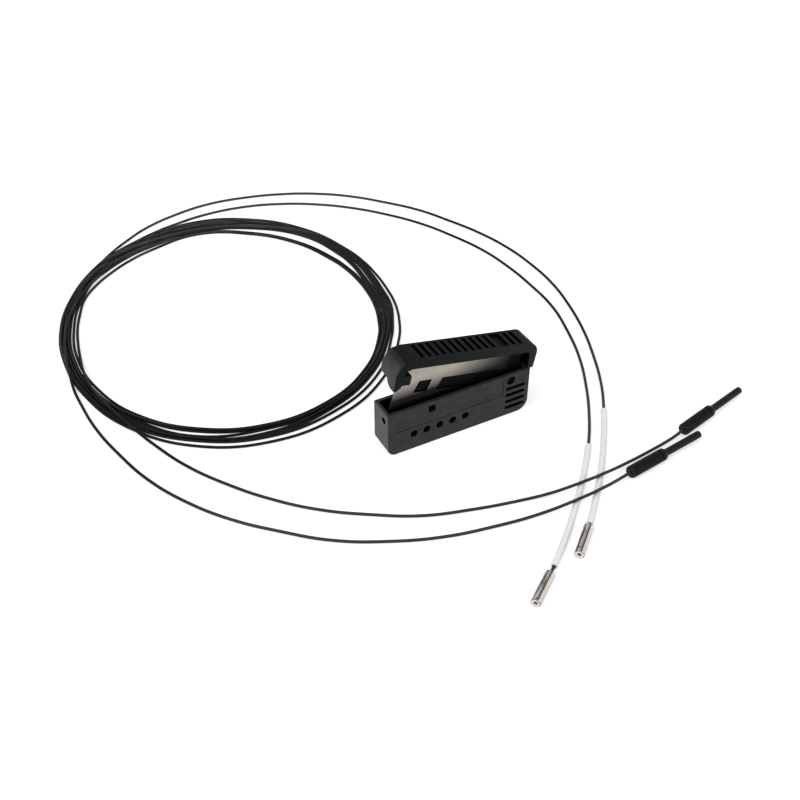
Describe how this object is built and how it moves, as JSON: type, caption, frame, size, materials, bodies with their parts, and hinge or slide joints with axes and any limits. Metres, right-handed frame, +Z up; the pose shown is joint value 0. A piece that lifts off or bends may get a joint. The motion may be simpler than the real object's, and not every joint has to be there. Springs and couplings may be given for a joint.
{
  "type": "fibre optic sensor",
  "caption": "Through-beam fibre optic sensor set: thin light guides with round metal heads, white sleeves and plug ends, loosely coiled, with a hinged hand cutter.",
  "frame": {"origin": "middle of the fibre cutter's flat underside, on the surface that the whole set lies on", "axes": "+X along the cutter from its mouth to its hinge, +Y from the cutter's front wall to its rear wall, +Z up"},
  "size_m": [0.1982, 0.2535, 0.0349],
  "materials": {
    "shell_plastic": "satin moulded",
    "lid_plastic": "fine grain moulded",
    "blade_steel": "brushed",
    "pin_plastic": "satin",
    "head_metal": "turned",
    "jacket_plastic": "satin extruded",
    "sleeve_plastic": "translucent white",
    "plug_plastic": "satin moulded",
    "fibre_core": "polished end"
  },
  "bodies": {
    "base": {"cutter_base": "shell_plastic", "hinge_pin": "pin_plastic", "fibre_coil": "jacket_plastic", "emitter_head": "head_metal", "emitter_head_core": "fibre_core", "emitter_sleeve": "sleeve_plastic", "emitter_head_lead": "jacket_plastic", "emitter_plug_lead": "jacket_plastic", "emitter_plug_grip": "plug_plastic", "emitter_plug_collar": "plug_plastic", "emitter_plug_tip": "plug_plastic", "emitter_plug_core": "fibre_core", "receiver_head": "head_metal", "receiver_head_core": "fibre_core", "receiver_sleeve": "sleeve_plastic", "receiver_head_lead": "jacket_plastic", "receiver_plug_lead": "jacket_plastic", "receiver_plug_grip": "plug_plastic", "receiver_plug_collar": "plug_plastic", "receiver_plug_tip": "plug_plastic", "receiver_plug_core": "fibre_core"},
    "lid": {"cutter_lid": "lid_plastic", "cutter_blade": "blade_steel"}
  },
  "joints": [
    {"name": "lid_hinge", "type": "hinge", "parent": "base", "child": "lid", "pos_m": [0.019, 0, 0.0139], "axis": [0, 1, 0], "range_deg": [-11.4, 0]}
  ]
}
